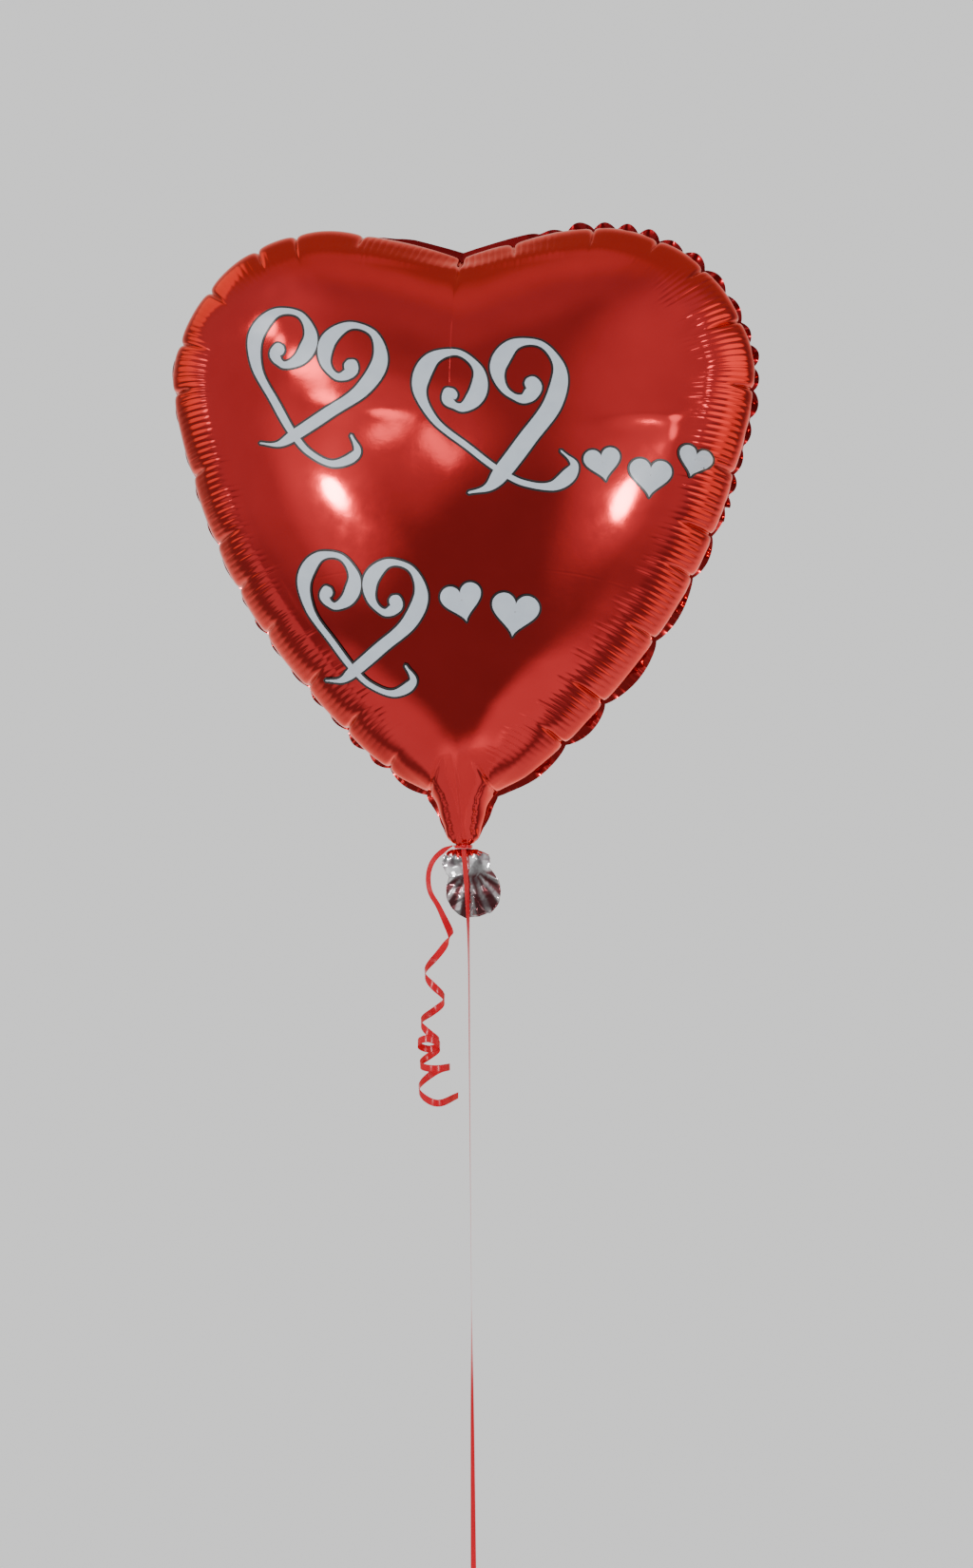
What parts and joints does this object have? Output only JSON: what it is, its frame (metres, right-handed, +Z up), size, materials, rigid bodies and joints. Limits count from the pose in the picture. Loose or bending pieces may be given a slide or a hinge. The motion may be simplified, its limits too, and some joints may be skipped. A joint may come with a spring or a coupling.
{
  "type": "heart foil balloon on a ribbon",
  "caption": "Inflated heart-shaped foil balloon with a welded rim, a tied neck, a filling tail, a long straight ribbon and a curled ribbon end.",
  "frame": {"origin": "the middle of the neck, where the ribbon is tied round it", "axes": "+Z up along the balloon, +X to the viewer's right, and the printed face looks along -Y"},
  "size_m": [0.4196, 0.217, 1.0158],
  "materials": {
    "red_foil": "metallised polyester film, mirror-like red",
    "silver_foil": "unprinted metallised film, crinkled, mirror-like",
    "clear_film": "thin clear polyethylene film",
    "ribbon": "glossy polypropylene curling ribbon"
  },
  "bodies": {
    "balloon": {"front_film": "red_foil", "back_film": "red_foil", "valve_front_ply": "clear_film", "valve_back_ply": "clear_film"},
    "tail": {"tail_front_ply": "silver_foil", "tail_back_ply": "silver_foil"},
    "tie": {"ribbon_wrap": "ribbon", "ribbon_knot": "ribbon"},
    "tether": {"tether_ribbon": "ribbon", "loop_knot": "ribbon", "hand_loop": "ribbon"},
    "curl": {"curl_lead": "ribbon", "curl_coil": "ribbon"}
  },
  "joints": [
    {"name": "tail_flap", "type": "hinge", "parent": "balloon", "child": "tail", "pos_m": [0, 0, -0.003], "axis": [1, 0, 0], "range_deg": [-4, 10]},
    {"name": "tie_turn", "type": "hinge", "parent": "balloon", "child": "tie", "pos_m": [0, 0, -0.00185], "axis": [0, 0, 1], "range_deg": [-15, 15]},
    {"name": "tether_swing", "type": "hinge", "parent": "tie", "child": "tether", "pos_m": [0.0012, -0.0091, -0.00185], "axis": [0, 1, 0], "range_deg": [-70, 70]},
    {"name": "curl_swing", "type": "hinge", "parent": "tie", "child": "curl", "pos_m": [-0.0075, -0.001, -0.00185], "axis": [0, 1, 0], "range_deg": [0, 25]}
  ]
}
